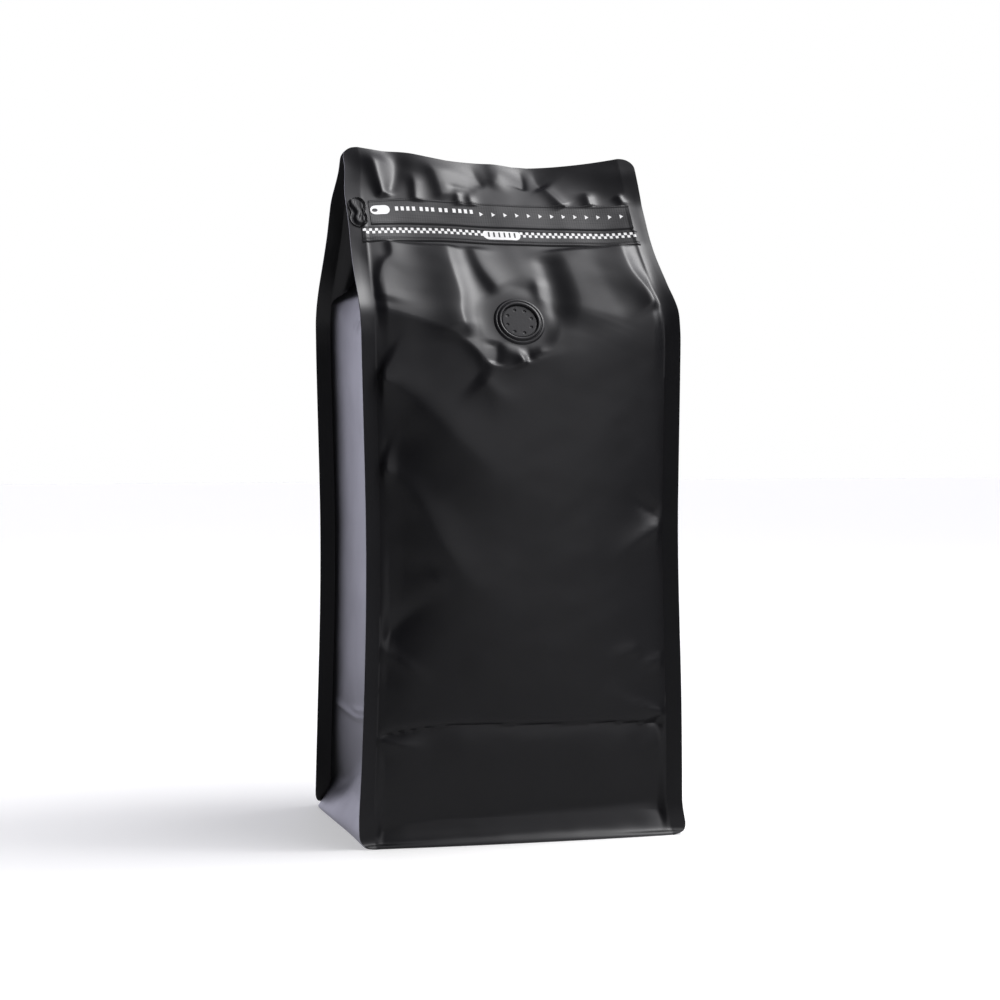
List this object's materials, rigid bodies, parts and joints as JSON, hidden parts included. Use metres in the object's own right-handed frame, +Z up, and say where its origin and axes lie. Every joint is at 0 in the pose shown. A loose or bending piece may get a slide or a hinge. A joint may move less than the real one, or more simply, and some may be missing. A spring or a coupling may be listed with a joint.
{
  "type": "coffee bag",
  "caption": "Shut flat-bottomed coffee bag in matt black film, with side gussets, corner fins, tear strip, pull tab, zipper band and degassing valve.",
  "frame": {"origin": "centre of the bottom, on the surface that the bag stands on", "axes": "+Z up the bag to its top edge, front panel with the valve towards -Y, +X to the right of the front panel"},
  "size_m": [0.1468, 0.1299, 0.3056],
  "materials": {
    "film": "matt black laminated film",
    "band": "satin black film, embossed",
    "valve": "satin black moulded plastic",
    "print": "matt white ink"
  },
  "bodies": {
    "root": {"bag": "film", "tear_strip": "band", "zipper_band": "band", "pull_tab": "band", "valve_rim": "valve", "valve_cap": "valve"}
  },
  "joints": []
}
